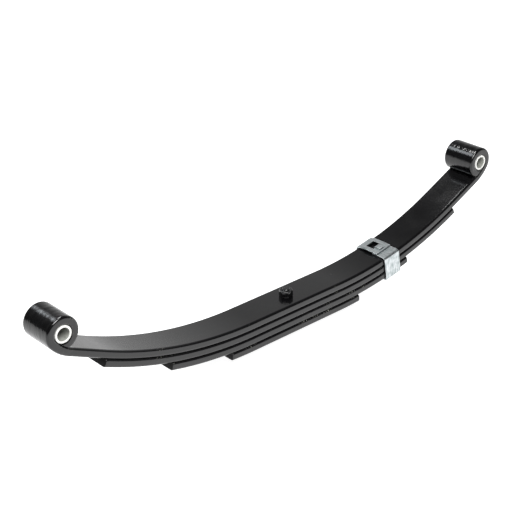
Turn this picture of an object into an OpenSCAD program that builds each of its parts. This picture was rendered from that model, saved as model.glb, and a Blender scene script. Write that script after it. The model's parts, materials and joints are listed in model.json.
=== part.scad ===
// Four-leaf double-eye leaf spring for a light trailer axle.
// X runs along the spring, Y across it and Z up. The origin is on the centre bolt's axis, on the underside
// of the shortest leaf, where the spring rests on the axle's seat.

/* [Leaves] */
// Distance between the two eye centres, unloaded
eye_span = 641.35; // [600:0.05:700]
// Width of every leaf
leaf_w = 44.45; // [40:0.05:50]
// Thickness of every leaf
leaf_t = 9.5; // [8:0.1:10]
// Radius of the rolled edges of the flat bar
edge_r = 2.8; // [1:0.1:3]
// Coat of paint between two leaves
paint_gap = 0.1; // [0.05:0.01:0.3]
// Half the length of the flat seat in the middle
seat_half = 68; // [60:1:80]
// Half lengths of leaves two, three and four, along the main leaf's top surface
half_length = [274, 183, 100]; // [60:1:280]

/* [Eyes and bushes] */
// Bore of the rolled eye
eye_bore_d = 19.05; // [18:0.05:20]
// Gap between the end of the eye's roll and the leaf
roll_gap = 0.3; // [0.3:0.1:1.5]
// Bore of the bush, for the shackle bolt
bush_bore_d = 14.3; // [13:0.1:15]
// Round on the bush's inner edge
bush_round = 0.8; // [0.3:0.1:1.2]
// Radial clearance of the bush in the eye
bush_clear = 0.025; // [0.01:0.005:0.1]

/* [Centre bolt] */
// Shank diameter of the centre bolt
bolt_d = 9.525; // [8:0.005:10]
// Diameter of the drilled hole in each leaf
leaf_hole_d = 10.4; // [10.3:0.1:12]
// Diameter of the round locating head
head_d = 15.88; // [14:0.01:18]
// Height of the round locating head
head_h = 8; // [5:0.5:10]
// Chamfer on the locating head's rim
head_chamfer = 0.8; // [0.3:0.1:1.5]
// Width of the nut across its flats
nut_af = 14.3; // [13:0.1:16]
// Height of the nut
nut_h = 8.3; // [6:0.1:9]
// Turn of the nut about its bolt
nut_turn = 12; // [0:1:59]
// Length of thread that stands past the nut
thread_proud = 1.2; // [0.5:0.1:3]
// Ring round the head and the nut that the leaf's coat of paint stops short of
bare_ring = 0.3; // [0.2:0.1:1]

/* [Rebound clip] */
// Place of the clip's middle, along the main leaf's top surface
clip_at = 156; // [130:1:170]
// Width of the clip's band
clip_w = 25.5; // [20:0.5:30]
// Thickness of the clip's sheet
clip_t = 1.6; // [1.5:0.1:2.2]
// Gap between the clip and the leaves' edges
clip_side_gap = 0.6; // [0.6:0.1:2]
// Gap between the clip and the leaves' faces
clip_face_gap = 0.45; // [0.4:0.05:0.8]
// Size of the square window along X and along Y
clip_window = [12.6, 12.4]; // [9:0.1:15]
// Width of the tongue that is folded through the window
tongue_w = 8; // [6:0.5:9]

/* [Hidden] */
$fn = 96;
leaves = 4;
clipped_leaves = 3;
pitch = leaf_t + paint_gap;
stack_h = leaves * leaf_t + (leaves - 1) * paint_gap;
through = 1;

// Eye: the leaf's top surface runs on as the inside of the roll. The slope at its foot has a short exact sine
// and cosine, and the reach to its centre is whole to a thousandth, so that the arm and the roll share one face.
eye_sin = 0.5376;
eye_cos = 0.8432;
eye_angle = asin(eye_sin);
eye_r = eye_bore_d / 2;
eye_out_r = eye_r + leaf_t;
eye_reach = round((eye_span / 2 - seat_half) / eye_sin * 1000) / 1000;
arc_r = eye_reach + eye_r;
arc_z = stack_h + arc_r;
eye_z = arc_z - eye_reach * eye_cos;
arm_over_angle = 1;
roll_angle = 360 - acos((pow(arc_r - roll_gap, 2) - pow(eye_out_r, 2) - pow(eye_reach, 2))
                        / (2 * eye_out_r * eye_reach));

// Bush
bush_r = eye_r - bush_clear;
bush_bore_r = bush_bore_d / 2;

// Nut and bolt
nut_corner_d = nut_af / cos(30);
nut_crown_share = 0.96;
nut_crown_r = nut_af / 2 * nut_crown_share;
nut_crown_slope = tan(30);
nut_bore_clear = 0.03;
thread_chamfer = 1;
// The head and the nut bear on bare steel, one coat of paint below the leaf's painted face
bare_depth = paint_gap;

// Clip, in a frame whose origin is on the main leaf's top surface and whose Z points out of the leaf
clip_angle = (clip_at - seat_half) / arc_r * 180 / PI;
clip_bend_in = 1.5;
clip_bend_out = clip_bend_in + clip_t;
clip_bend_y = leaf_w / 2 + clip_side_gap - clip_bend_in;
clip_top_z = clip_face_gap - clip_bend_in;
clip_bottom_z = clip_bend_in - clip_face_gap - (clipped_leaves * leaf_t + (clipped_leaves - 1) * paint_gap);
layer_gap = 0.15;
ramp_slope = 5.5;
// The ramp starts this deep in the bend before it, and is this much thinner on each face
ramp_lap = 0.3;
ramp_inset = 0.02;
under_layer_end = -3;
over_layer_end = -11;
over_layer_z = clip_face_gap + clip_t + layer_gap;
ramp_up = [sin(ramp_slope), cos(ramp_slope)];
ramp_along = [-cos(ramp_slope), sin(ramp_slope)];
ramp_from = [clip_bend_y, clip_top_z] + (clip_bend_in + ramp_inset) * ramp_up - ramp_lap * ramp_along;
ramp_t = clip_t - 2 * ramp_inset;
ramp_end_y = ramp_from[0] - (over_layer_z - ramp_from[1]) / tan(ramp_slope);
ramp_mitre = ramp_t * tan(ramp_slope / 2);
fold_in = clip_t / 2 + layer_gap;
fold_out = fold_in + clip_t;
fold_y = -1;
fold_z = clip_face_gap + clip_t + fold_in;
tongue_end = -8.5;
window_room = 0.4;
window_near = fold_y + fold_in - window_room;

// Section of the flat bar, with its rolled edges, centred, its thickness along X and its width along Y
module bar_section() {
    square([leaf_t - 2 * edge_r, leaf_w], center = true);
    square([leaf_t, leaf_w - 2 * edge_r], center = true);
    for (x = [-1, 1], y = [-1, 1])
        translate([x * (leaf_t / 2 - edge_r), y * (leaf_w / 2 - edge_r)])
            circle(r = edge_r);
}

// Bar bent in the XZ plane about the Y axis: inner radius r, from straight down, turning towards +X and up
module bent_bar(r, angle)
    rotate([90, 0, 0])
        rotate_extrude(angle = angle, start = -90, $fn = 240)
            translate([r + leaf_t / 2, 0])
                bar_section();

// Straight bar on the seat, its top face at z
module seat_bar(z)
    translate([-seat_half, 0, z - leaf_t / 2])
        rotate([0, 90, 0])
            linear_extrude(2 * seat_half)
                bar_section();

// Both arms of a leaf: children drawn at the arc's centre, and again as their mirror image
module both_arms()
    for (side = [0, 1])
        mirror([side, 0, 0])
            translate([seat_half, 0, arc_z])
                children();

// Hole for the centre bolt, through the whole pack
module bolt_hole()
    translate([0, 0, -through])
        cylinder(d = leaf_hole_d, h = stack_h + 2 * through);

// Bare round face for the head or the nut of width d, cut into a leaf's outer face at z, on the side given by up
module bare_face(d, z, up)
    translate([0, 0, up > 0 ? z - bare_depth : z - through])
        cylinder(d = d + 2 * bare_ring, h = bare_depth + through);

// Leaf with plain ends, number 1 to 3 counted down from the main leaf
module plain_leaf(number)
    color("#1c1d20")
        difference() {
            union() {
                seat_bar(stack_h - number * pitch);
                both_arms()
                    bent_bar(arc_r + number * pitch, (half_length[number - 1] - seat_half) / arc_r * 180 / PI);
            }
            bolt_hole();
        }

module main_leaf()
    color("#1c1d20")
        difference() {
            union() {
                seat_bar(stack_h);
                both_arms() {
                    difference() {
                        bent_bar(arc_r, eye_angle + arm_over_angle);
                        rotate([0, -eye_angle, 0])
                            translate([0, -leaf_w, -arc_r - 2 * leaf_t])
                                cube([3 * leaf_t, 2 * leaf_w, 3 * leaf_t]);
                    }
                    rotate([0, -eye_angle, 0])
                        translate([0, 0, -eye_reach])
                            bent_bar(eye_r, roll_angle);
                }
            }
            bolt_hole();
            bare_face(nut_corner_d, stack_h, 1);
        }

module second_leaf() plain_leaf(1);
module third_leaf() plain_leaf(2);
module fourth_leaf()
    color("#1c1d20")
        difference() {
            plain_leaf(3);
            bare_face(head_d, 0, -1);
        }

// Plastic sleeve, flush with the eye, its inner edges rounded
module bush(side) {
    wall = bush_r - bush_bore_r;
    color("#e8e6df")
        translate([side * eye_span / 2, 0, eye_z])
            rotate([90, 0, 0])
                rotate_extrude() {
                    translate([bush_bore_r, bush_round - leaf_w / 2])
                        square([wall, leaf_w - 2 * bush_round]);
                    translate([bush_bore_r + bush_round, -leaf_w / 2])
                        square([wall - bush_round, leaf_w]);
                    for (end = [-1, 1])
                        translate([bush_bore_r + bush_round, end * (leaf_w / 2 - bush_round)])
                            circle(r = bush_round);
                }
}

module front_bush() bush(-1);
module rear_bush() bush(1);

// Round head under the pack, plain shank, chamfered end past the nut
module centre_bolt() {
    shank_h = stack_h - bare_depth + nut_h + thread_proud;
    color("#26272a") {
        translate([0, 0, -head_h])
            cylinder(d1 = head_d - 2 * head_chamfer, d2 = head_d, h = head_chamfer);
        translate([0, 0, head_chamfer - head_h])
            cylinder(d = head_d, h = head_h - head_chamfer + bare_depth);
        cylinder(d = bolt_d, h = shank_h - thread_chamfer);
        translate([0, 0, shank_h - thread_chamfer])
            cylinder(d1 = bolt_d, d2 = bolt_d - 2 * thread_chamfer, h = thread_chamfer);
    }
}

// Hexagon nut with both faces crowned
module centre_nut() {
    crown_out_r = nut_corner_d / 2 + through;
    crown_h = (crown_out_r - nut_crown_r) * nut_crown_slope;
    color("#26272a")
        translate([0, 0, stack_h - bare_depth])
            difference() {
                intersection() {
                    rotate(nut_turn)
                        cylinder(d = nut_corner_d, h = nut_h, $fn = 6);
                    rotate_extrude()
                        polygon([[0, 0], [nut_crown_r, 0], [crown_out_r, crown_h], [crown_out_r, nut_h - crown_h],
                                 [nut_crown_r, nut_h], [0, nut_h]]);
                }
                translate([0, 0, -through])
                    cylinder(d = bolt_d + 2 * nut_bore_clear, h = nut_h + 2 * through);
            }
}

// Part of a ring in the plane, from angle a turning by sweep, under 180 degrees
module ring_part(inner, outer, a, sweep) {
    reach = 3 * outer;
    intersection() {
        difference() {
            circle(r = outer);
            circle(r = inner);
        }
        polygon([[0, 0], reach * [cos(a), sin(a)], reach * [cos(a + sweep / 2), sin(a + sweep / 2)],
                 reach * [cos(a + sweep), sin(a + sweep)]]);
    }
}

// Band round the leaves in the YZ plane: under layer from one side, ramped upper layer from the other
module clip_band() {
    for (side = [-1, 1])
        translate([side * clip_bend_y + (side < 0 ? -clip_bend_out : clip_bend_in), clip_bottom_z])
            square([clip_t, clip_top_z - clip_bottom_z]);
    for (side = [-1, 1])
        translate([side * clip_bend_y, clip_bottom_z])
            ring_part(clip_bend_in, clip_bend_out, side < 0 ? 180 : 270, 90);
    translate([-clip_bend_y, clip_bottom_z - clip_bend_out])
        square([2 * clip_bend_y, clip_t]);
    translate([-clip_bend_y, clip_top_z])
        ring_part(clip_bend_in, clip_bend_out, 90, 90);
    translate([-clip_bend_y, clip_face_gap])
        square([under_layer_end + clip_bend_y, clip_t]);
    translate([clip_bend_y, clip_top_z])
        ring_part(clip_bend_in, clip_bend_out, 0, 90 - ramp_slope);
    polygon([ramp_from, [ramp_end_y, over_layer_z], [over_layer_end, over_layer_z],
             [over_layer_end, over_layer_z + ramp_t], [ramp_end_y + ramp_mitre, over_layer_z + ramp_t],
             ramp_from + ramp_t * ramp_up]);
}

// Tongue of the under layer, up through the window and folded back over the upper layer
module clip_tongue() {
    translate([under_layer_end - through, clip_face_gap])
        square([fold_y - under_layer_end + through, clip_t]);
    translate([fold_y, fold_z])
        ring_part(fold_in, fold_out, -90, 90);
    translate([fold_y, fold_z])
        ring_part(fold_in, fold_out, 0, 90);
    translate([tongue_end, fold_z + fold_in])
        square([fold_y - tongue_end, clip_t]);
}

// Shape in the YZ plane drawn out along X, centred
module along_x(width)
    translate([-width / 2, 0, 0])
        rotate([90, 0, 90])
            linear_extrude(width)
                children();

module rebound_clip()
    color("#c9ced2")
        translate([seat_half, 0, arc_z])
            rotate([0, -clip_angle, 0])
                translate([0, 0, -arc_r]) {
                    difference() {
                        along_x(clip_w) clip_band();
                        translate([-clip_window[0] / 2, window_near, 0])
                            cube([clip_window[0], clip_window[1], 2 * fold_out]);
                    }
                    along_x(tongue_w) clip_tongue();
                }

main_leaf();
second_leaf();
third_leaf();
fourth_leaf();
centre_bolt();
centre_nut();
front_bush();
rear_bush();
rebound_clip();
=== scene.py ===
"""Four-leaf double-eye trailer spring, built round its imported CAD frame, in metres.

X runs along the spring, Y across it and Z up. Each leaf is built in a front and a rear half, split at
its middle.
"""
import json
import math

import bmesh
import bpy
from mathutils import Matrix, Vector


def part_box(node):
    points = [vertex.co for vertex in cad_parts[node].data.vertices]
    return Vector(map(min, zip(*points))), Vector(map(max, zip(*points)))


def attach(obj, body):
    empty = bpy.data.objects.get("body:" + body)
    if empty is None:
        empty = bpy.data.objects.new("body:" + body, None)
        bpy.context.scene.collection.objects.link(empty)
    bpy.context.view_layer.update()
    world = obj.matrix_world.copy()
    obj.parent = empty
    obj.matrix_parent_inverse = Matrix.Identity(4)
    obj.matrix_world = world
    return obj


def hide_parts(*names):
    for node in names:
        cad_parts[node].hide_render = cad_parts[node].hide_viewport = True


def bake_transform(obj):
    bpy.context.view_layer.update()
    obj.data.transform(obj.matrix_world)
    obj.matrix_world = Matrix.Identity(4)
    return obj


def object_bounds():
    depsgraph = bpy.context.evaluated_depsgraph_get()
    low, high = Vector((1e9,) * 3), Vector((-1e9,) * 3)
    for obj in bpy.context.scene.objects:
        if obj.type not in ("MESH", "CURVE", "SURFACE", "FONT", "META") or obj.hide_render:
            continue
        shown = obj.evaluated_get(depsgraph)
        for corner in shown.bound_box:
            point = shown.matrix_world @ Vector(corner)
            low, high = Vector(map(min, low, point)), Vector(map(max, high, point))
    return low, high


bl_info = {
    "name": "Leaf Spring",
    "version": (1, 0, 0),
    "blender": (4, 5, 0),
    "location": "3D View > Sidebar > Leaf Spring",
    "description": "Builds a painted double-eye leaf spring with its bushes, centre bolt and rebound clip",
    "category": "Add Mesh",
}

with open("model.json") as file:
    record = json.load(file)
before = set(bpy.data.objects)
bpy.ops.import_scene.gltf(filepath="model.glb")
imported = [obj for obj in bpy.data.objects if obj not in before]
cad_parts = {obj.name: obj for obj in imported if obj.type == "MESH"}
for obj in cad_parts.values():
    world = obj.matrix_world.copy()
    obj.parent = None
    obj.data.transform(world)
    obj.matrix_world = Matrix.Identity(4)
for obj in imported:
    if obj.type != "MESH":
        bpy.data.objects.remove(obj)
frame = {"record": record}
CAD_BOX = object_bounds()
MM = 0.001

MOUNTS = {mount["name"]: mount for mount in frame["record"]["mounts"]}
EYE_X, _, EYE_Z = MOUNTS["rear_bush_bore"]["pos_m"]
STACK_TOP = MOUNTS["clamp_plate_face"]["pos_m"][2]
BUSH_BORE_R = MOUNTS["rear_bush_bore"]["dims"]["r_mm"] * MM
LEAF_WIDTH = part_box("main_leaf")[1].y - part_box("main_leaf")[0].y
LEAVES = ("main_leaf", "second_leaf", "third_leaf", "fourth_leaf")
LEAF_GAP = 0.1 * MM
# Points nearer than this are one point
SAME_POINT = 0.001 * MM
LEAF_THICKNESS = (STACK_TOP - (len(LEAVES) - 1) * LEAF_GAP) / len(LEAVES)

# Each end of the spring: its name, its side of the bolt along X, and the body that the bush in its eye is
# attached to
ENDS = (("front", -1, "front_eye"), ("rear", 1, "rear_eye"))
# Distance from the bolt past which a cap is a leaf's end, not its cut at the middle
BEND_START = 50 * MM


def linear(code):
    """An sRGB hex colour as linear red, green, blue and alpha."""
    shares = [int(code[i:i + 2], 16) / 255 for i in (0, 2, 4)]
    return tuple(c / 12.92 if c <= 0.04045 else ((c + 0.055) / 1.055) ** 2.4 for c in shares) + (1.0,)


def length(name, text, default):
    """A length that the user may change, in metres."""
    return bpy.props.FloatProperty(name=name, description=text, default=default, unit="LENGTH", precision=5)


def colour(name, text, code):
    """A colour that the user may change, given as an sRGB hex value."""
    return bpy.props.FloatVectorProperty(
        name=name, description=text, default=linear(code), subtype="COLOR", size=4, min=0, max=1)


class LeafSizes(bpy.types.PropertyGroup):
    """Sizes of the leaves and their rolled eyes."""
    width: length("Width", "Width of the flat bar", LEAF_WIDTH)
    thickness: length("Thickness", "Thickness of the flat bar", LEAF_THICKNESS)
    gap: length("Gap", "Coat of paint between two leaves", LEAF_GAP)
    edge_radius: length("Edge radius", "Radius of the bar's rolled edges", 2.8 * MM)
    seat_half: length("Seat half length", "Half the length of the straight seat", 68 * MM)
    arm_slope: bpy.props.FloatProperty(
        name="Arm slope", description="Slope at which the main leaf's arc ends", default=math.radians(25),
        subtype="ANGLE")
    arm_straight: length("Straight arm", "Straight run before the main leaf turns up into the eye", 46 * MM)
    roll_short: bpy.props.FloatProperty(
        name="Roll short", description="Turn by which the roll stops short of square to the arm",
        default=math.radians(12), subtype="ANGLE")
    end_bevel: length("End bevel", "Broken edge round a sheared end", 0.5 * MM)
    hole_radius: length("Hole radius", "Radius of the centre bolt's hole", 5.2 * MM)
    roll_gap: length("Roll gap", "Gap between the roll's end and the leaf", 0.3 * MM)


class BushSizes(bpy.types.PropertyGroup):
    """Sizes of the moulded bushes."""
    inner_round: length("Inner round", "Round on the edge of the bore", 0.8 * MM)
    outer_round: length("Outer round", "Round on the outer edge", 0.25 * MM)
    clearance: length("Clearance", "Radial clearance in the eye", 0.025 * MM)


class BoltSizes(bpy.types.PropertyGroup):
    """Sizes of the centre bolt and its nut."""
    shank_radius: length("Shank radius", "Radius over the thread", 4.7625 * MM)
    pitch: length("Pitch", "Pitch of the fine thread", 1.058 * MM)
    thread_depth: length("Thread depth", "Depth of the thread", 0.6 * MM)
    nut_flats: length("Nut width", "Width of the nut across its flats", 14.3 * MM)
    nut_height: length("Nut height", "Height of the nut", 8.3 * MM)
    proud: length("Proud thread", "Thread past the nut", 1.2 * MM)
    nut_turn: bpy.props.FloatProperty(
        name="Nut turn", description="Turn of the nut about the bolt", default=math.radians(12),
        subtype="ANGLE")


class ClipSizes(bpy.types.PropertyGroup):
    """Sizes of the rebound clip."""
    place: length("Place", "Clip's middle, along the main leaf's top", 156 * MM)
    width: length("Width", "Width of the band", 25.5 * MM)
    thickness: length("Thickness", "Thickness of the sheet", 1.6 * MM)
    side_gap: length("Side gap", "Gap to the leaves' edges", 0.6 * MM)
    far_gap: length("Far side gap", "Gap to the leaves' far edges, where the band is pulled tight", 0.1 * MM)
    face_gap: length("Face gap", "Gap to the leaves' faces", 0.45 * MM)
    layer_gap: length("Layer gap", "Gap between two layers of the sheet", 0.15 * MM)
    bend_radius: length("Bend radius", "Inside radius of the bends", 1.5 * MM)
    edge_radius: length("Edge radius", "Broken edge of the cut sheet", 0.3 * MM)
    tongue_width: length("Tongue width", "Width of the folded tongue", 8 * MM)
    window_x: length("Window along", "Window's size along the spring", 12.6 * MM)
    window_y: length("Window across", "Window's size across the spring", 12.4 * MM)


class Finishes(bpy.types.PropertyGroup):
    """Colours of the finishes."""
    paint: colour("Paint", "Black chassis paint", "070708")
    dust: colour("Dust", "Dust and chips in the paint", "77776f")
    bolt: colour("Bolt paint", "Paint over the bolt and nut", "0c0c0d")
    nylon: colour("Nylon", "Moulded bush", "dededa")
    nylon_stain: colour("Nylon stain", "Handling marks on the bush", "c3c2ba")
    # The bore's two colours are darker than the nylon: painted shade in the recess, with the stain's marks
    # mixed in
    bore: colour("Bore", "Bore of the bush", "8f918b")
    bore_shade_and_stain: colour("Bore stain", "Marks in the bush's bore", "6f716b")
    zinc: colour("Zinc", "Bright plate", "c9cdcf")
    zinc_dull: colour("Dull zinc", "Cloudy patches in the plate", "8b9696")
    # The punched edge's dark colour is painted shade on the window's walls, as well as duller bare steel
    punched: colour("Punched edge", "Wall of the punched window", "2c302f")
    floor: colour("Floor", "White sweep under the spring", "b0b0b0")


class StageSettings(bpy.types.PropertyGroup):
    """Camera and lights."""
    lens: bpy.props.FloatProperty(
        name="Lens", description="Focal length on a 36 mm sensor", default=90.31, subtype="DISTANCE_CAMERA")
    azimuth: bpy.props.FloatProperty(
        name="Azimuth", description="Turn of the view from the front", default=math.radians(-42.199),
        subtype="ANGLE")
    elevation: bpy.props.FloatProperty(
        name="Elevation", description="Height of the view", default=math.radians(26.5), subtype="ANGLE")
    roll: bpy.props.FloatProperty(
        name="Roll", description="Turn of the camera about its view", default=math.radians(-0.404),
        subtype="ANGLE")
    distance: length("Distance", "From the camera to its target", 1438.758 * MM)
    target: bpy.props.FloatVectorProperty(
        name="Target", description="Point that the camera looks at", default=(-0.046596, 0.0, 0.105631),
        subtype="TRANSLATION")


GROUPS = {
    "spring_leaf": LeafSizes,
    "spring_bush": BushSizes,
    "spring_bolt": BoltSizes,
    "spring_clip": ClipSizes,
    "spring_finish": Finishes,
    "spring_stage": StageSettings,
}


# ---------------------------------------------------------------- helpers

def add(tree, kind, links=None, **settings):
    """Add a node with its settings; links gives each input, by name or number, a socket or a value."""
    node = tree.nodes.new(kind)
    for name, value in settings.items():
        setattr(node, name, value)
    for key, value in (links or {}).items():
        if isinstance(value, bpy.types.NodeSocket):
            tree.links.new(value, node.inputs[key])
        else:
            node.inputs[key].default_value = value
    return node


def mesh_object(name, points, edges=(), faces=()):
    """A new object at the origin with the given mesh."""
    mesh = bpy.data.meshes.new(name)
    mesh.from_pydata([tuple(p) for p in points], list(edges), list(faces))
    obj = bpy.data.objects.new(name, mesh)
    bpy.context.scene.collection.objects.link(obj)
    return obj


def settle(obj):
    """Make what the modifiers give the object's own plain mesh, and take the modifiers off."""
    bpy.context.view_layer.update()
    evaluated = obj.evaluated_get(bpy.context.evaluated_depsgraph_get())
    old = obj.data
    mesh = bpy.data.meshes.new_from_object(evaluated)
    obj.modifiers.clear()
    obj.data = mesh
    mesh.name = obj.name
    bpy.data.meshes.remove(old)


def cut(obj, cutter):
    """Take the cutter's shape out of the object, and remove the cutter."""
    modifier = obj.modifiers.new("cut", "BOOLEAN")
    modifier.operation = "DIFFERENCE"
    modifier.solver = "EXACT"
    modifier.object = cutter
    settle(obj)
    bpy.data.objects.remove(cutter)


def finish_faces(obj, sharp_degrees=32):
    """Merge doubles, turn the faces outwards, and shade smooth but for the sharp edges."""
    mesh = bmesh.new()
    mesh.from_mesh(obj.data)
    bmesh.ops.remove_doubles(mesh, verts=mesh.verts, dist=1e-7)
    bmesh.ops.recalc_face_normals(mesh, faces=mesh.faces)
    for face in mesh.faces:
        face.smooth = True
    for edge in mesh.edges:
        edge.smooth = len(edge.link_faces) == 2 and edge.calc_face_angle() < math.radians(sharp_degrees)
    mesh.to_mesh(obj.data)
    mesh.free()


def bevel_ends(obj, offset, keep):
    """Break the edges round each end cap whose centre passes the keep test, and give it the last material."""
    mesh = bmesh.new()
    mesh.from_mesh(obj.data)
    caps = [face for face in mesh.faces if len(face.verts) > 4 and keep(face.calc_center_median())]
    for face in caps:
        face.material_index = len(obj.data.materials) - 1
    if offset:
        edges = {edge for face in caps for edge in face.edges}
        bmesh.ops.bevel(mesh, geom=list(edges), offset=offset, segments=3, profile=0.5, affect="EDGES")
    mesh.to_mesh(obj.data)
    mesh.free()


def arc(centre, radius, start, sweep, step):
    """Points on an arc in a plane; angles in radians from straight down, turning towards the first axis."""
    count = max(2, math.ceil(abs(sweep) / step))
    return [(centre[0] + radius * math.sin(start + sweep * i / count),
             centre[1] - radius * math.cos(start + sweep * i / count)) for i in range(count + 1)]


def straight(a, b, step):
    """Evenly spaced points from a to b."""
    count = max(1, math.ceil(math.dist(a, b) / step))
    return [(a[0] + (b[0] - a[0]) * i / count, a[1] + (b[1] - a[1]) * i / count) for i in range(count + 1)]


def joined(*runs):
    """Runs of points end to end, with the shared ends left out."""
    points = []
    for run in runs:
        for point in run:
            if not points or math.dist(points[-1], point) > SAME_POINT:
                points.append(point)
    return points


def lathe(name, outline, segments=96):
    """Closed outline of (radius, height) pairs turned about Z."""
    points = []
    for i in range(segments):
        turn = math.tau * i / segments
        points += [(r * math.cos(turn), r * math.sin(turn), z) for r, z in outline]
    count = len(outline)
    faces = []
    for i in range(segments):
        for j in range(count):
            a = i * count + j
            b = i * count + (j + 1) % count
            c = ((i + 1) % segments) * count + (j + 1) % count
            d = ((i + 1) % segments) * count + j
            faces.append((a, b, c, d))
    return mesh_object(name, points, faces=faces)


def corner(centre, radius, start, end, steps=5):
    """Points on a rounded corner of an outline, angles in degrees from the first axis."""
    turns = [math.radians(start + (end - start) * i / steps) for i in range(steps + 1)]
    return [(centre[0] + radius * math.cos(t), centre[1] + radius * math.sin(t)) for t in turns]


# ---------------------------------------------------------------- rolled bar

def bar_tree():
    """Geometry nodes that sweep a flat bar with rolled edges along the object's line of edges.

    The section's points are numbered round it. Each rounded corner has one more point on either side of
    its arc, which keeps the shading of the flats flat.
    """
    tree = bpy.data.node_groups.new("flat bar along a line", "GeometryNodeTree")
    sockets = tree.interface
    sockets.new_socket("Geometry", in_out="INPUT", socket_type="NodeSocketGeometry")
    for name in ("Width", "Thickness", "Edge radius", "Support"):
        sockets.new_socket(name, in_out="INPUT", socket_type="NodeSocketFloat")
    sockets.new_socket("Edge steps", in_out="INPUT", socket_type="NodeSocketInt")
    sockets.new_socket("Material", in_out="INPUT", socket_type="NodeSocketMaterial")
    sockets.new_socket("Geometry", in_out="OUTPUT", socket_type="NodeSocketGeometry")
    given = add(tree, "NodeGroupInput").outputs

    def maths(operation, *values):
        return add(tree, "ShaderNodeMath", dict(enumerate(values)), operation=operation).outputs[0]

    index = add(tree, "GeometryNodeInputIndex").outputs[0]
    per_corner = maths("ADD", given["Edge steps"], 3.0)
    corner_number = maths("FLOOR", maths("DIVIDE", maths("ADD", index, 0.5), per_corner))
    place = maths("SUBTRACT", maths("SUBTRACT", index, maths("MULTIPLY", corner_number, per_corner)), 1.0)
    on_arc = maths("MINIMUM", maths("MAXIMUM", place, 0.0), given["Edge steps"])
    past_arc = maths("MULTIPLY", maths("SUBTRACT", place, on_arc), given["Support"])
    quarter = math.pi / 2
    corner_turn = maths("MULTIPLY", corner_number, quarter)
    arc_share = maths("DIVIDE", on_arc, given["Edge steps"])
    arc_turn = maths("ADD", corner_turn, maths("MULTIPLY", arc_share, quarter))
    spoke = add(tree, "ShaderNodeCombineXYZ", {0: given["Edge radius"], 1: past_arc}).outputs[0]
    spoke = add(tree, "ShaderNodeVectorRotate", {"Vector": spoke, "Angle": arc_turn},
                rotation_type="Z_AXIS").outputs[0]
    signs = add(tree, "ShaderNodeVectorRotate", {"Vector": (1.0, 1.0, 0.0), "Angle": corner_turn},
                rotation_type="Z_AXIS").outputs[0]
    half_flat = [maths("SUBTRACT", maths("MULTIPLY", given[name], 0.5), given["Edge radius"])
                 for name in ("Width", "Thickness")]
    centre = add(tree, "ShaderNodeCombineXYZ", {0: half_flat[0], 1: half_flat[1]}).outputs[0]
    centre = add(tree, "ShaderNodeVectorMath", {0: centre, 1: signs}, operation="MULTIPLY").outputs[0]
    position = add(tree, "ShaderNodeVectorMath", {0: centre, 1: spoke}, operation="ADD").outputs[0]

    ring = add(tree, "GeometryNodeCurvePrimitiveCircle", {"Resolution": maths("MULTIPLY", per_corner, 4.0)})
    section = add(tree, "GeometryNodeSetPosition", {"Geometry": ring.outputs[0], "Position": position})
    line = add(tree, "GeometryNodeMeshToCurve", {"Mesh": given["Geometry"]})
    sweep = add(tree, "GeometryNodeCurveToMesh",
                {"Curve": line.outputs[0], "Profile Curve": section.outputs[0], "Fill Caps": True})
    real = add(tree, "GeometryNodeRealizeInstances", {"Geometry": sweep.outputs[0]})
    painted = add(tree, "GeometryNodeSetMaterial",
                  {"Geometry": real.outputs[0], "Material": given["Material"]})
    add(tree, "NodeGroupOutput", {"Geometry": painted.outputs[0]})
    return tree


EDGE_STEPS = 6
# Points round a section of the bar
BAR_POINTS = 4 * (EDGE_STEPS + 3)


def flat_bar(name, points, width, thickness, edge_radius, material, edge_steps=EDGE_STEPS):
    """Flat bar with rolled edges along a line of points, as a plain mesh."""
    obj = mesh_object(name, points, edges=[(i, i + 1) for i in range(len(points) - 1)])
    modifier = obj.modifiers.new("bar", "NODES")
    modifier.node_group = bpy.data.node_groups.get("flat bar along a line") or bar_tree()
    given = {"Width": width, "Thickness": thickness, "Edge radius": edge_radius,
             "Support": min(0.5 * MM, (thickness / 2 - edge_radius) / 2), "Edge steps": edge_steps,
             "Material": material}
    for socket in modifier.node_group.interface.items_tree:
        if socket.in_out == "INPUT" and socket.name in given:
            modifier[socket.identifier] = given[socket.name]
    settle(obj)
    return obj


# ---------------------------------------------------------------- finishes

def shader(name):
    """A new material's tree, its Principled shader and its Object coordinates."""
    material = bpy.data.materials.new(name)
    material.use_nodes = True
    tree = material.node_tree
    tree.nodes.clear()
    principled = add(tree, "ShaderNodeBsdfPrincipled")
    add(tree, "ShaderNodeOutputMaterial", {"Surface": principled.outputs[0]})
    return material, tree, principled, add(tree, "ShaderNodeTexCoord").outputs["Object"]


# Distance from the middle, across the spring, at which the rolled edges are scuffed
SCUFFED_Y = 21.2 * MM


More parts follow.
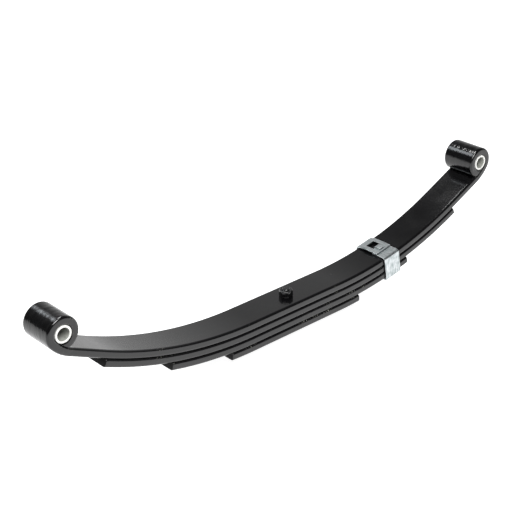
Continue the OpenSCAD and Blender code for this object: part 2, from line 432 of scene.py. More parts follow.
def black_paint(name, colour_value, dust_value, roughness, wave, grain):
    """Semi-gloss black chassis paint, sprayed on hot-rolled bar: deep black with a soft clear reflection,
    long ripples from the bar's scale under it, fine orange peel, and a few specks of dust and chips."""
    material, tree, principled, place = shader(name)
    specks = add(tree, "ShaderNodeTexVoronoi", {"Vector": place, "Scale": 1 / (7 * MM), "Randomness": 1.0})
    # Specks are about 0.4 mm across, drawn a little coarse so that they show
    speck = add(tree, "ShaderNodeMapRange", {"Value": specks.outputs["Distance"], "From Min": 0.035,
                                             "From Max": 0.02, "To Min": 0.0, "To Max": 1.0})
    chosen = add(tree, "ShaderNodeSeparateColor", {0: specks.outputs["Color"]})
    some = add(tree, "ShaderNodeMath", {0: chosen.outputs[0], 1: 0.72}, operation="GREATER_THAN")
    speckled = add(tree, "ShaderNodeMath", {0: speck.outputs[0], 1: some.outputs[0]}, operation="MULTIPLY")
    # Chips and scuffs keep to the bar's rolled edges, where the leaves knock together in handling
    parts = add(tree, "ShaderNodeSeparateXYZ", {0: place})
    across = add(tree, "ShaderNodeMath", {0: parts.outputs[1]}, operation="ABSOLUTE")
    past = add(tree, "ShaderNodeMath", {0: across.outputs[0], 1: SCUFFED_Y}, operation="SUBTRACT")
    past = add(tree, "ShaderNodeMath", {0: past.outputs[0]}, operation="ABSOLUTE")
    at_edge = add(tree, "ShaderNodeMapRange", {"Value": past.outputs[0], "From Min": 1.1 * MM,
                                               "From Max": 0.5 * MM})
    patches = add(tree, "ShaderNodeTexNoise", {"Vector": place, "Scale": 1 / (35 * MM), "Detail": 1.0})
    worn = add(tree, "ShaderNodeMapRange", {"Value": patches.outputs[0], "From Min": 0.6, "From Max": 0.72})
    scratch = add(tree, "ShaderNodeTexNoise", {"Vector": place, "Scale": 1 / (1.8 * MM), "Detail": 3.0})
    chip = add(tree, "ShaderNodeMapRange", {"Value": scratch.outputs[0], "From Min": 0.58, "From Max": 0.66})
    scuffed = add(tree, "ShaderNodeMath", {0: at_edge.outputs[0], 1: worn.outputs[0]}, operation="MULTIPLY")
    scuffed = add(tree, "ShaderNodeMath", {0: scuffed.outputs[0], 1: chip.outputs[0]}, operation="MULTIPLY")
    dusty = add(tree, "ShaderNodeMath", {0: speckled.outputs[0], 1: scuffed.outputs[0]}, operation="MAXIMUM")
    tint = add(tree, "ShaderNodeMix", {"Factor": dusty.outputs[0], 6: colour_value, 7: dust_value},
               data_type="RGBA")
    tree.links.new(tint.outputs[2], principled.inputs["Base Color"])
    cloud = add(tree, "ShaderNodeTexNoise", {"Vector": place, "Scale": 1 / (30 * MM), "Detail": 3.0})
    dull = add(tree, "ShaderNodeMapRange", {"Value": cloud.outputs[0], "From Min": 0.3, "From Max": 0.7,
                                            "To Min": roughness - 0.03, "To Max": roughness + 0.05})
    rough = add(tree, "ShaderNodeMath", {0: dull.outputs[0], 1: dusty.outputs[0]}, operation="ADD",
                use_clamp=True)
    tree.links.new(rough.outputs[0], principled.inputs["Roughness"])
    ripple = add(tree, "ShaderNodeTexNoise", {"Vector": place, "Scale": 1 / (9 * MM), "Detail": 1.0})
    peel = add(tree, "ShaderNodeTexNoise", {"Vector": place, "Scale": 1 / (1.6 * MM), "Detail": 2.0})
    first = add(tree, "ShaderNodeBump", {"Height": ripple.outputs[0], "Distance": wave, "Strength": 1.0})
    second = add(tree, "ShaderNodeBump", {"Height": peel.outputs[0], "Distance": grain, "Strength": 1.0,
                                          "Normal": first.outputs[0]})
    # The rolled eyes keep the dents and hoops of the rolling, so they throw a broken, mottled highlight
    from_bolt = add(tree, "ShaderNodeMath", {0: parts.outputs[0]}, operation="ABSOLUTE")
    offset = add(tree, "ShaderNodeCombineXYZ", {0: from_bolt.outputs[0], 2: parts.outputs[2]})
    from_eye = add(tree, "ShaderNodeVectorMath", {0: offset.outputs[0], 1: (EYE_X, 0.0, EYE_Z)},
                   operation="DISTANCE")
    on_roll = add(tree, "ShaderNodeMapRange", {"Value": from_eye.outputs["Value"], "From Min": 24 * MM,
                                               "From Max": 19.5 * MM})
    hooped = add(tree, "ShaderNodeMapping", {"Vector": place, "Scale": (0.45, 1.0, 0.45)})
    dent = add(tree, "ShaderNodeTexNoise",
               {"Vector": hooped.outputs[0], "Scale": 1 / (6.5 * MM), "Detail": 2.5, "Roughness": 0.6})
    dent = add(tree, "ShaderNodeMath", {0: dent.outputs[0], 1: on_roll.outputs[0]}, operation="MULTIPLY")
    third = add(tree, "ShaderNodeBump", {"Height": dent.outputs[0], "Distance": 0.5 * MM, "Strength": 1.0,
                                         "Normal": second.outputs[0]})
    tree.links.new(third.outputs[0], principled.inputs["Normal"])
    principled.inputs["IOR"].default_value = 1.5
    return material


def sheared_end(colour_value):
    """Black chassis paint on the torn face of a sheared end: the rough steel under it breaks up every
    reflection, so it looks dead black."""
    material, tree, principled, place = shader("black paint over sheared end")
    tear = add(tree, "ShaderNodeTexNoise", {"Vector": place, "Scale": 1 / (1.2 * MM), "Detail": 4.0})
    bump = add(tree, "ShaderNodeBump", {"Height": tear.outputs[0], "Distance": 0.15 * MM})
    tree.links.new(bump.outputs[0], principled.inputs["Normal"])
    rough = add(tree, "ShaderNodeMapRange", {"Value": tear.outputs[0], "To Min": 0.5, "To Max": 0.75})
    tree.links.new(rough.outputs[0], principled.inputs["Roughness"])
    principled.inputs["Base Color"].default_value = colour_value
    principled.inputs["Specular IOR Level"].default_value = 0.15
    return material


def moulded_nylon(name, clean, stain):
    """Injection-moulded nylon, as moulded: off-white, half matt, with faint handling marks. The bore has the
    darker pair of colours, painted shade for its recess out of the light."""
    material, tree, principled, place = shader(name)
    marks = add(tree, "ShaderNodeTexNoise", {"Vector": place, "Scale": 1 / (4 * MM), "Detail": 4.0})
    stained = add(tree, "ShaderNodeMapRange", {"Value": marks.outputs[0], "From Min": 0.52, "From Max": 0.75})
    tint = add(tree, "ShaderNodeMix", {"Factor": stained.outputs[0], 6: clean, 7: stain},
               data_type="RGBA")
    tree.links.new(tint.outputs[2], principled.inputs["Base Color"])
    grain = add(tree, "ShaderNodeTexNoise", {"Vector": place, "Scale": 1 / (0.8 * MM), "Detail": 2.0})
    bump = add(tree, "ShaderNodeBump", {"Height": grain.outputs[0], "Distance": 0.01 * MM})
    tree.links.new(bump.outputs[0], principled.inputs["Normal"])
    principled.inputs["Roughness"].default_value = 0.42
    principled.inputs["IOR"].default_value = 1.53
    return material


def zinc_plate(colours, turn):
    """Bright zinc electroplate on rolled strip: pale silver, cloudy in patches, with the strip's fine rolling
    lines running round the band and a slight blue-green passivation."""
    material, tree, principled, place = shader("bright zinc plate on rolled strip")
    level = add(tree, "ShaderNodeMapping", {"Vector": place, "Rotation": (0.0, turn, 0.0)})
    clouds = add(tree, "ShaderNodeTexNoise",
                 {"Vector": level.outputs[0], "Scale": 1 / (6 * MM), "Detail": 5.0})
    # Rolling lines are finer than this on the real strip, and are drawn about 0.8 mm apart so that they show
    stretch = add(tree, "ShaderNodeMapping", {"Vector": level.outputs[0], "Scale": (1.0, 0.05, 0.05)})
    lines = add(tree, "ShaderNodeTexNoise",
                {"Vector": stretch.outputs[0], "Scale": 1 / (0.8 * MM), "Detail": 3.0})
    streaked = add(tree, "ShaderNodeMix", {"Factor": 0.65, 2: clouds.outputs[0], 3: lines.outputs[0]})
    patch = add(tree, "ShaderNodeMapRange",
                {"Value": streaked.outputs[0], "From Min": 0.42, "From Max": 0.62})
    tint = add(tree, "ShaderNodeMix", {"Factor": patch.outputs[0], 6: colours.zinc, 7: colours.zinc_dull},
               data_type="RGBA")
    tree.links.new(tint.outputs[2], principled.inputs["Base Color"])
    mixed = add(tree, "ShaderNodeMath", {0: clouds.outputs[0], 1: lines.outputs[0]}, operation="ADD")
    rough = add(tree, "ShaderNodeMapRange", {"Value": mixed.outputs[0], "From Min": 0.7, "From Max": 1.3,
                                             "To Min": 0.26, "To Max": 0.42})
    tree.links.new(rough.outputs[0], principled.inputs["Roughness"])
    first = add(tree, "ShaderNodeBump", {"Height": clouds.outputs[0], "Distance": 0.2 * MM})
    second = add(tree, "ShaderNodeBump", {"Height": lines.outputs[0], "Distance": 0.02 * MM,
                                          "Normal": first.outputs[0]})
    tree.links.new(second.outputs[0], principled.inputs["Normal"])
    principled.inputs["Metallic"].default_value = 1.0
    return material


def punched_edge_painted_shade(colours):
    """Steel strip punched through after plating: a narrow torn wall, duller than the plate, and coloured dark
    as painted shade in the window's depth.
    """
    material, tree, principled, place = shader("punched edge of the strip")
    tear = add(tree, "ShaderNodeTexNoise", {"Vector": place, "Scale": 1 / (0.8 * MM), "Detail": 3.0})
    rough = add(tree, "ShaderNodeMapRange", {"Value": tear.outputs[0], "To Min": 0.45, "To Max": 0.7})
    tree.links.new(rough.outputs[0], principled.inputs["Roughness"])
    principled.inputs["Base Color"].default_value = colours.punched
    principled.inputs["Metallic"].default_value = 1.0
    return material


def lit_acrylic(colours):
    """Opal acrylic sweep, lit from below: white, matt and nearly without shadow."""
    material, tree, principled, place = shader("backlit opal acrylic")
    grain = add(tree, "ShaderNodeTexNoise", {"Vector": place, "Scale": 1 / (3 * MM), "Detail": 2.0})
    rough = add(tree, "ShaderNodeMapRange", {"Value": grain.outputs[0], "To Min": 0.8, "To Max": 0.95})
    tree.links.new(rough.outputs[0], principled.inputs["Roughness"])
    principled.inputs["Base Color"].default_value = colours.floor
    principled.inputs["Specular IOR Level"].default_value = 0.0
    principled.inputs["Emission Color"].default_value = (1.0, 1.0, 1.0, 1.0)
    principled.inputs["Emission Strength"].default_value = 0.95
    return material


# ---------------------------------------------------------------- pieces

def leaf_arc(sizes):
    """Radius and centre of the main leaf's top, past the seat, in the XZ plane of its rear half."""
    eye_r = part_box("main_leaf")[1].z - EYE_Z - sizes.thickness
    rise = EYE_Z - STACK_TOP
    reach = EYE_X - sizes.seat_half
    top_r = (reach ** 2 + rise ** 2 - eye_r ** 2) / (2 * (rise - eye_r))
    return top_r, (sizes.seat_half, STACK_TOP + top_r)


def eye_foot(sizes, centre, radius, roll_r):
    """Where the main leaf's straight arm ends, and the centre, radius and end angle of the foot that turns up
    from it into the roll."""
    slope = sizes.arm_slope
    along = Vector((math.cos(slope), math.sin(slope)))
    normal = Vector((-along.y, along.x))
    arm_end = Vector(centre) - normal * radius + along * sizes.arm_straight
    eye = Vector((EYE_X, EYE_Z))
    short = arm_end - eye
    foot_r = (short.length_squared - roll_r ** 2) / (2 * (-short.dot(normal) - roll_r))
    foot = arm_end + normal * foot_r
    to_eye = eye - foot
    return arm_end, foot, foot_r, math.atan2(to_eye.x, -to_eye.y)


def leaf_line(sizes, number):
    """Centre line of a leaf's rear half in the XZ plane, from the bolt to its end. The main leaf is 0."""
    pitch = sizes.thickness + sizes.gap
    half = sizes.thickness / 2
    eye_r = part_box("main_leaf")[1].z - EYE_Z - sizes.thickness
    top_r, centre = leaf_arc(sizes)
    middle = STACK_TOP - number * pitch - half
    radius = top_r + number * pitch + half
    seat = straight((0.0, middle), (sizes.seat_half, middle), 5 * MM)
    if number:
        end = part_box(LEAVES[number])[1].x
        angle = math.asin((end - sizes.seat_half) / (radius + half))
        return joined(seat, arc(centre, radius, 0.0, angle, 4 * MM / radius))
    roll_r = eye_r + half
    arm_end, foot, foot_r, foot_angle = eye_foot(sizes, centre, radius, roll_r)
    arm_start = arc(centre, radius, 0.0, sizes.arm_slope, 4 * MM / radius)[-1]
    roll_end = math.tau + sizes.arm_slope - sizes.roll_short
    return joined(seat, arc(centre, radius, 0.0, sizes.arm_slope, 4 * MM / radius),
                  straight(arm_start, tuple(arm_end), 4 * MM),
                  arc(tuple(foot), foot_r, sizes.arm_slope, foot_angle - sizes.arm_slope, math.radians(3)),
                  arc((EYE_X, EYE_Z), roll_r, foot_angle, roll_end - foot_angle, math.radians(3)))


# Sections at the roll's end that may meet the leaf under them
ROLL_END_SECTIONS = 30
# A ray from the eye's centre that points along the arm or away from it never meets it
AWAY_FROM_ARM = -0.1


def lay_roll_end(piece, side, sizes, count):
    """Thin the roll's end where it lies on its own leaf, leaving the roll gap between them. The count is how
    many points the end's sections have."""
    half = sizes.thickness / 2
    eye_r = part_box("main_leaf")[1].z - EYE_Z - sizes.thickness
    top_r, centre = leaf_arc(sizes)
    arm_end, foot, foot_r, _ = eye_foot(sizes, centre, top_r + half, eye_r + half)
    normal = (foot - arm_end).normalized()
    eye = Vector((EYE_X, EYE_Z))
    from_foot = eye - foot
    clear_r = foot_r - half - sizes.roll_gap
    clear_h = (eye - arm_end).dot(normal) - half - sizes.roll_gap
    for vertex in list(piece.data.vertices)[-count:]:
        spoke = Vector((side * vertex.co.x, vertex.co.z)) - eye
        ray = spoke.normalized()
        if ray.dot(normal) > AWAY_FROM_ARM:
            continue
        reach = -from_foot.dot(ray) + math.sqrt(
            from_foot.dot(ray) ** 2 + clear_r ** 2 - from_foot.length_squared)
        to_arm = -clear_h / ray.dot(normal)
        if (eye + ray * to_arm - arm_end).cross(normal) <= 0:
            reach = to_arm
        if reach < spoke.length:
            vertex.co.x = side * (eye.x + ray.x * reach)
            vertex.co.z = eye.y + ray.y * reach


class SPRING_OT_leaves(bpy.types.Operator):
    """Build the four leaves, each in a front and a rear half"""
    bl_idname = "spring.leaves"
    bl_label = "Leaves"

    def execute(self, context):
        sizes = context.scene.spring_leaf
        colours = context.scene.spring_finish
        paint = black_paint("semi-gloss black paint on rolled bar", colours.paint, colours.dust, 0.15,
                            0.02 * MM, 0.0015 * MM)
        sheared = sheared_end(colours.paint)
        for number, node in enumerate(LEAVES):
            line = leaf_line(sizes, number)
            for end, side, body in ENDS:
                piece = flat_bar(f"{node}_{end}", [(side * x, 0.0, z) for x, z in line], sizes.width,
                                 sizes.thickness, sizes.edge_radius, paint)
                if number == 0:
                    lay_roll_end(piece, side, sizes, ROLL_END_SECTIONS * BAR_POINTS)
                piece.data.materials.append(sheared)
                bevel_ends(piece, sizes.end_bevel if number else 0.0,
                           lambda centre: abs(centre.x) > BEND_START)
                drill = lathe("drill", [(0.0, -MM), (sizes.hole_radius, -MM),
                                        (sizes.hole_radius, STACK_TOP + MM), (0.0, STACK_TOP + MM)], 64)
                finish_faces(drill)
                cut(piece, drill)
                finish_faces(piece)
                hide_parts(node)
                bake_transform(piece)
        return {"FINISHED"}


class SPRING_OT_bushes(bpy.types.Operator):
    """Build the moulded bush in each eye"""
    bl_idname = "spring.bushes"
    bl_label = "Bushes"

    def execute(self, context):
        sizes = context.scene.spring_bush
        leaf = context.scene.spring_leaf
        colours = context.scene.spring_finish
        nylon = moulded_nylon("moulded off-white nylon", colours.nylon, colours.nylon_stain)
        # The bore's material is darker grey nylon, painted shade in the recess
        bore = moulded_nylon("moulded grey nylon bore", colours.bore, colours.bore_shade_and_stain)
        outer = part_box("main_leaf")[1].z - EYE_Z - leaf.thickness - sizes.clearance
        half = leaf.width / 2
        inner, edge = sizes.inner_round, sizes.outer_round
        outline = (corner((outer - edge, half - edge), edge, 0, 90)
                   + corner((BUSH_BORE_R + inner, half - inner), inner, 90, 180, 8)
                   + corner((BUSH_BORE_R + inner, inner - half), inner, 180, 270, 8)
                   + corner((outer - edge, edge - half), edge, 270, 360))
        for end, side, body in ENDS:
            piece = lathe(f"{end}_bush_moulding", outline, 128)
            in_eye = Matrix.Translation((side * EYE_X, 0, EYE_Z)) @ Matrix.Rotation(math.pi / 2, 4, "X")
            piece.data.transform(in_eye)
            piece.data.materials.append(nylon)
            piece.data.materials.append(bore)
            finish_faces(piece, 50)
            # Faces inside the bore take the darker colours that paint its shade
            for face in piece.data.polygons:
                if math.hypot(face.center.x - side * EYE_X, face.center.z - EYE_Z) < BUSH_BORE_R + inner / 4:
                    face.material_index = 1
            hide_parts(f"{end}_bush")
            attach(piece, body)
        return {"FINISHED"}


def threaded_bolt(sizes, head, bare):
    """Centre bolt: round head with a chamfered rim, plain shank, and a cut thread at the top."""
    head_r = head[1].x
    head_h = -head[0].z
    top = STACK_TOP - bare + sizes.nut_height + sizes.proud
    buried_thread = 4 * MM
    thread_from = STACK_TOP - buried_thread
    rim, broken_edge, support = 0.8 * MM, 0.2 * MM, 0.3 * MM
    rings = [(0.0, -head_h), (head_r * 0.6, -head_h)]
    rings += corner((head_r - rim, rim - head_h), rim, 270, 360, 6)
    rings += [(head_r, bare - broken_edge), (head_r - broken_edge, bare), (sizes.shank_radius, bare),
              (sizes.shank_radius, bare + support), (sizes.shank_radius, thread_from - support)]
    rings_per_pitch = 14
    count = math.ceil((top - thread_from) / (sizes.pitch / rings_per_pitch))
    rings += [(None, thread_from + (top - thread_from) * i / count) for i in range(count + 1)]
    chamfer = 0.9 * MM
    end_r = sizes.shank_radius - chamfer
    rings += [(end_r * 0.9, top), (0.0, top)]
    segments = 72
    # Shares of a tooth's half pitch that are its flat crest and its flank; the rest is its root
    crest_share, flank_share = 0.12, 0.76
    points = []
    for i in range(segments):
        share = i / segments
        for radius, z in rings:
            if radius is None:
                phase = (z / sizes.pitch - share) % 1.0
                tooth = min(1.0, max(0.0, (abs(phase - 0.5) * 2 - crest_share) / flank_share))
                radius = sizes.shank_radius - sizes.thread_depth * tooth
                radius = min(radius, sizes.shank_radius - max(0.0, chamfer - (top - z)))
            points.append((radius * math.cos(math.tau * share), radius * math.sin(math.tau * share), z))
    faces = []
    for i in range(segments):
        for j in range(len(rings) - 1):
            a, b = i * len(rings) + j, ((i + 1) % segments) * len(rings) + j
            faces.append((a, b, b + 1, a + 1))
    return mesh_object("centre_bolt_threaded", points, faces=faces)


def crowned_nut(sizes, bare):
    """Hexagon nut with both faces crowned, softened edges and a countersunk bore."""
    apothem = sizes.nut_flats / 2
    corner_r = apothem / math.cos(math.pi / 6)
    half = sizes.nut_height / 2
    hexagon = [(corner_r * math.cos(sizes.nut_turn + math.tau * i / 6),
                corner_r * math.sin(sizes.nut_turn + math.tau * i / 6)) for i in range(6)]
    points = [(x, y, z) for z in (-half, half) for x, y in hexagon]
    faces = [tuple(range(5, -1, -1)), tuple(range(6, 12))]
    faces += [(i, (i + 1) % 6, 6 + (i + 1) % 6, 6 + i) for i in range(6)]
    nut = mesh_object("centre_nut_hexagon", points, faces=faces)
    # The crown meets the face just inside the flats, and its cone runs out past the corners
    crown_r = apothem * 0.96
    wide = corner_r * 1.3
    fall = (wide - crown_r) * math.tan(math.pi / 6)
    crown = lathe("crown", [(0.0, -half), (crown_r, -half), (wide, fall - half), (wide, half - fall),
                            (crown_r, half), (0.0, half)], 144)
    finish_faces(crown)
    modifier = nut.modifiers.new("crown", "BOOLEAN")
    modifier.operation = "INTERSECT"
    modifier.solver = "EXACT"
    modifier.object = crown
    settle(nut)
    bpy.data.objects.remove(crown)
    thread_clearance = 0.03 * MM
    bore = sizes.shank_radius + thread_clearance
    sink = 0.7 * MM
    drill = lathe("drill", [(0.0, -half - MM), (bore + sink + MM, -half - MM), (bore, sink - half),
                            (bore, half - sink), (bore + sink + MM, half + MM), (0.0, half + MM)], 72)
    finish_faces(drill)
    cut(nut, drill)
    bevel = nut.modifiers.new("soft edges", "BEVEL")
    bevel.width = 0.25 * MM
    bevel.segments = 2
    bevel.limit_method = "ANGLE"
    bevel.angle_limit = math.radians(25)
    settle(nut)
    nut.data.transform(Matrix.Translation((0, 0, STACK_TOP - bare + half)))
    return nut


class SPRING_OT_bolt(bpy.types.Operator):
    """Build the centre bolt and its nut"""
    bl_idname = "spring.bolt"
    bl_label = "Centre bolt and nut"

    def execute(self, context):
        sizes = context.scene.spring_bolt
        colours = context.scene.spring_finish
        paint = black_paint("black paint over bolt steel", colours.bolt, colours.dust, 0.2,
                            0.05 * MM, 0.01 * MM)
        bare = STACK_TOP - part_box("centre_nut")[0].z
        for piece, node in ((threaded_bolt(sizes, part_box("centre_bolt"), bare), "centre_bolt"),
                            (crowned_nut(sizes, bare), "centre_nut")):
            piece.data.materials.clear()
            piece.data.materials.append(paint)
            finish_faces(piece, 40)
            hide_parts(node)
            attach(piece, "leaf_pack")
        return {"FINISHED"}


# Where the clip's layers end across the spring: the under and upper layers, the tongue's fold and its end
UNDER_LAYER_END = -3 * MM
OVER_LAYER_END = -11 * MM
FOLD_Y = -1 * MM
TONGUE_END = -8.5 * MM
# The tongue starts this deep in the under layer
TONGUE_LAP = 1 * MM
# The window starts this far to the near side of the middle, and is cut down from above the folded tongue
WINDOW_NEAR = -0.25 * MM
WINDOW_TOP = 12 * MM


def clip_lines(sizes, leaf):
    """Centre lines of the clip's band and its tongue in its own YZ plane, whose origin is on the leaf."""
    half = sizes.thickness / 2
    bend = sizes.bend_radius + half
    side = leaf.width / 2 + sizes.side_gap - sizes.bend_radius
    far = leaf.width / 2 + sizes.far_gap - sizes.bend_radius
    top = sizes.face_gap - sizes.bend_radius
    clipped = 3
    depth = clipped * leaf.thickness + (clipped - 1) * leaf.gap
    bottom = sizes.bend_radius - sizes.face_gap - depth
    under = sizes.face_gap + half
    over = under + sizes.thickness + sizes.layer_gap
    step = 1.5 * MM
    turn = math.radians(10)
    quarter = math.pi / 2
    ramp = math.radians(9)
    shoulder = arc((far, top), bend, quarter, quarter - ramp, turn)
    # The upper layer springs up off the shoulder to a low crest, then falls to its end
    crest_z = over + 0.25 * MM
    rise = crest_z - shoulder[-1][1]
    crest = (shoulder[-1][0] - rise / math.tan(ramp) * 1.25, crest_z)
    bow = []
    bow_steps = 12
    for i in range(1, bow_steps + 1):
        t = i / bow_steps
        bow.append((shoulder[-1][0] + (crest[0] - shoulder[-1][0]) * t,
                    shoulder[-1][1] + rise * (1 - (1 - t) ** 2)))
    end = (OVER_LAYER_END, over)
    band = joined(
        straight((UNDER_LAYER_END, under), (-side, under), step),
        arc((-side, top), bend, 2 * quarter, quarter, turn),
        straight((-side - bend, top), (-side - bend, bottom), step),
        arc((-side, bottom), bend, 3 * quarter, quarter, turn),
        straight((-side, bottom - bend), (far, bottom - bend), step),
        arc((far, bottom), bend, 0.0, quarter, turn),
        straight((far + bend, bottom), (far + bend, top), step),
        shoulder,
        bow,
        straight(crest, end, step),
    )
    fold = half + sizes.layer_gap
    fold_centre = (FOLD_Y, under + half + fold)
    fold_top = fold_centre[1] + half + fold
    tongue = joined(
        straight((UNDER_LAYER_END - TONGUE_LAP, under), (FOLD_Y, under), step),
        arc(fold_centre, half + fold, 0.0, 2 * quarter, turn),
        straight((FOLD_Y, fold_top), (TONGUE_END, fold_top), step),
    )
    return band, tongue


class SPRING_OT_clip(bpy.types.Operator):
    """Build the rebound clip with its window and folded tongue"""
    bl_idname = "spring.clip"
    bl_label = "Rebound clip"

    def execute(self, context):
        sizes = context.scene.spring_clip
        leaf = context.scene.spring_leaf
        top_r, _ = leaf_arc(leaf)
        angle = (sizes.place - leaf.seat_half) / top_r
        zinc = zinc_plate(context.scene.spring_finish, angle)
        punched = punched_edge_painted_shade(context.scene.spring_finish)
        band_line, tongue_line = clip_lines(sizes, leaf)
        put = (Matrix.Translation((leaf.seat_half, 0, STACK_TOP + top_r)) @ Matrix.Rotation(-angle, 4, "Y")
               @ Matrix.Translation((0, 0, -top_r)))
        band = flat_bar("rebound_clip_band", [(0.0, y, z) for y, z in band_line], sizes.width,
                        sizes.thickness, sizes.edge_radius, zinc, 3)
        tongue = flat_bar("rebound_clip_tongue", [(0.0, y, z) for y, z in tongue_line], sizes.tongue_width,
                          sizes.thickness, sizes.edge_radius, zinc, 3)
        low, high = -sizes.window_x / 2, sizes.window_x / 2
        window_far = WINDOW_NEAR + sizes.window_y
        outline = ((low, WINDOW_NEAR), (high, WINDOW_NEAR), (high, window_far), (low, window_far))
        points = [(x, y, z) for z in (sizes.face_gap + sizes.thickness, WINDOW_TOP) for x, y in outline]
        window = mesh_object("window", points, faces=[(3, 2, 1, 0), (4, 5, 6, 7), (0, 1, 5, 4), (1, 2, 6, 5),
                                                      (2, 3, 7, 6), (3, 0, 4, 7)])
        soft = window.modifiers.new("corners", "BEVEL")
        soft.width = 0.6 * MM
        soft.segments = 3
        settle(window)
        for piece in (band, tongue):
            bevel_ends(piece, 0.25 * MM, lambda centre: True)
        # The window's walls take the punched edge's dark colour, painted shade inside the window
        band.data.materials.append(punched)
        for face in window.data.polygons:
            face.material_index = 1
        cut(band, window)
        for piece in (band, tongue):
            piece.data.transform(put)
            finish_faces(piece, 35)
            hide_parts("rebound_clip")
            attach(piece, "clip")
        return {"FINISHED"}


# Each softbox: its name, place, target, size in metres, power in watts and tint. The two behind draw the
# streaks along the rolled eyes, the one in front lights the bushes and the floor, and the one overhead lights
# the clip's top.
SOFTBOXES = (
    ("softbox behind, high", (-0.38, 0.95, 1.36), (0, 0, 0.05), 0.5, 4.6, (0.9, 0.96, 1.0)),
    ("softbox behind, low", (-0.25, 0.95, 0.93), (0, 0, 0.05), 0.36, 0.42, (0.93, 0.97, 1.0)),
    ("softbox in front", (-0.45, -0.75, 1.35), (-0.05, -0.1, 0.0), 0.9, 36.0, (1.0, 1.0, 1.0)),
    ("softbox overhead", (0.2, 0.5, 1.4), (0.15, 0.0, 0.0), 0.4, 12.0, (1.0, 1.0, 1.0)),
)
# Brightness of the room's far wall by the sine of the height angle, and of the rest of the room
WALL_TONES = ((0.0, 0.8), (0.17, 0.82), (0.28, 0.68), (0.39, 0.6), (0.47, 0.5), (0.545, 0.38), (0.695, 0.19),
              (0.8, 0.11), (1.0, 0.08))
ROOM_TONE = 0.07
# Direction of the far wall, behind the spring and to its right
WALL_WAY = (0.7071, 0.7071, 0.0)
FLOOR_REACH = 20.0


def area_light(name, place, target, size, watts, tint):
    """A square softbox at a place, facing a target."""
    light = bpy.data.lights.new(name, "AREA")
    light.shape = "SQUARE"
    light.size = size
    light.energy = watts
    light.color = tint
    lamp = bpy.data.objects.new(name, light)
    bpy.context.scene.collection.objects.link(lamp)
    lamp.location = place
    lamp.rotation_euler = (Vector(place) - Vector(target)).to_track_quat("Z", "Y").to_euler()
    lamp.visible_camera = False


def studio_world():
    """Dim room whose far wall, behind the spring and to its right, glows softly down to the floor."""
    world = bpy.data.worlds.new("studio")
    world.use_nodes = True
    tree = world.node_tree
    tree.nodes.clear()
    direction = add(tree, "ShaderNodeTexCoord").outputs["Generated"]
    parts = add(tree, "ShaderNodeSeparateXYZ", {0: direction})
    level = add(tree, "ShaderNodeCombineXYZ", {0: parts.outputs[0], 1: parts.outputs[1]})
    level = add(tree, "ShaderNodeVectorMath", {0: level.outputs[0]}, operation="NORMALIZE")
    facing = add(tree, "ShaderNodeVectorMath", {0: level.outputs[0], 1: WALL_WAY},
                 operation="DOT_PRODUCT")
    across = add(tree, "ShaderNodeMapRange",
                 {"Value": facing.outputs["Value"], "From Min": 0.1, "From Max": 0.8},
                 interpolation_type="SMOOTHSTEP")
    ramp = add(tree, "ShaderNodeValToRGB", {0: parts.outputs[2]})
    while len(ramp.color_ramp.elements) < len(WALL_TONES):
        ramp.color_ramp.elements.new(0.5)
    for element, (position, tone) in zip(ramp.color_ramp.elements, WALL_TONES):
        element.position = position
        element.color = (tone, tone, tone, 1.0)
    wall = add(tree, "ShaderNodeMath", {0: ramp.outputs[0], 1: ROOM_TONE}, operation="SUBTRACT")
    glow = add(tree, "ShaderNodeMath", {0: wall.outputs[0], 1: across.outputs[0], 2: ROOM_TONE},
               operation="MULTIPLY_ADD")
    seen = add(tree, "ShaderNodeLightPath").outputs["Is Camera Ray"]
    room = add(tree, "ShaderNodeBackground", {"Color": (1.0, 1.0, 1.0, 1.0), "Strength": glow.outputs[0]})
    backdrop = add(tree, "ShaderNodeBackground", {"Color": (1.0, 1.0, 1.0, 1.0), "Strength": 1.0})
    mix = add(tree, "ShaderNodeMixShader", {0: seen, 1: room.outputs[0], 2: backdrop.outputs[0]})
    add(tree, "ShaderNodeOutputWorld", {"Surface": mix.outputs[0]})
    return world


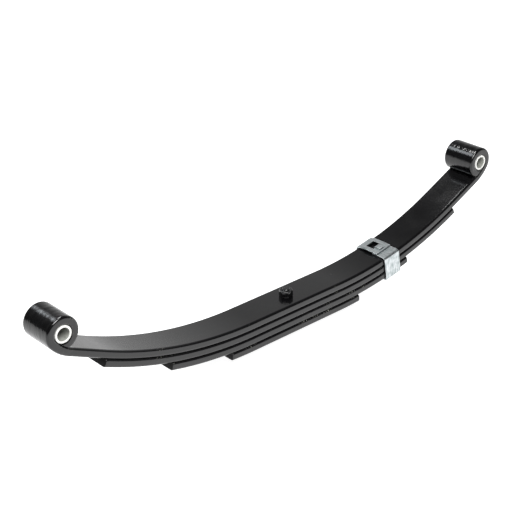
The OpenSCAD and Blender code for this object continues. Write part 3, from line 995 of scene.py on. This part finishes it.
class SPRING_OT_stage(bpy.types.Operator):
    """Build the floor, the lights, the room and the camera"""
    bl_idname = "spring.stage"
    bl_label = "Stage"

    def execute(self, context):
        scene = context.scene
        stage = scene.spring_stage
        low = CAD_BOX[0][2]
        corners = ((-1, -1), (1, -1), (1, 1), (-1, 1))
        floor = mesh_object("floor", [(x * FLOOR_REACH, y * FLOOR_REACH, low) for x, y in corners],
                            faces=[(0, 1, 2, 3)])
        floor.data.materials.append(lit_acrylic(scene.spring_finish))
        for softbox in SOFTBOXES:
            area_light(*softbox)
        scene.world = studio_world()
        scene.view_settings.view_transform = "Standard"
        camera = bpy.data.cameras.new("camera")
        camera.lens = stage.lens
        camera.sensor_width = 36.0
        holder = bpy.data.objects.new("camera", camera)
        scene.collection.objects.link(holder)
        back = Vector((math.sin(stage.azimuth) * math.cos(stage.elevation),
                       -math.cos(stage.azimuth) * math.cos(stage.elevation), math.sin(stage.elevation)))
        aim = (-back).to_track_quat("-Z", "Y").to_matrix().to_4x4()
        place = Matrix.Translation(Vector(stage.target) + back * stage.distance)
        holder.matrix_world = place @ aim @ Matrix.Rotation(stage.roll, 4, "Z")
        scene.camera = holder
        return {"FINISHED"}


class SPRING_PT_panel(bpy.types.Panel):
    """Lists the steps that build the spring"""
    bl_idname = "SPRING_PT_panel"
    bl_label = "Leaf Spring"
    bl_space_type = "VIEW_3D"
    bl_region_type = "UI"
    bl_category = "Leaf Spring"

    def draw(self, context):
        for step in STEPS:
            self.layout.operator(step.bl_idname)
        for name, group in GROUPS.items():
            box = self.layout.box()
            for key in group.__annotations__:
                box.prop(getattr(context.scene, name), key)


STEPS = (SPRING_OT_leaves, SPRING_OT_bushes, SPRING_OT_bolt, SPRING_OT_clip, SPRING_OT_stage)


def register():
    for group in (*GROUPS.values(), *STEPS, SPRING_PT_panel):
        bpy.utils.register_class(group)
    for name, group in GROUPS.items():
        setattr(bpy.types.Scene, name, bpy.props.PointerProperty(type=group))


def unregister():
    for name in GROUPS:
        delattr(bpy.types.Scene, name)
    for group in (SPRING_PT_panel, *reversed(STEPS), *reversed(list(GROUPS.values()))):
        bpy.utils.unregister_class(group)


def main():
    register()
    bpy.ops.spring.leaves()
    bpy.ops.spring.bushes()
    bpy.ops.spring.bolt()
    bpy.ops.spring.clip()
    bpy.ops.spring.stage()


if __name__ == "__main__":
    main()
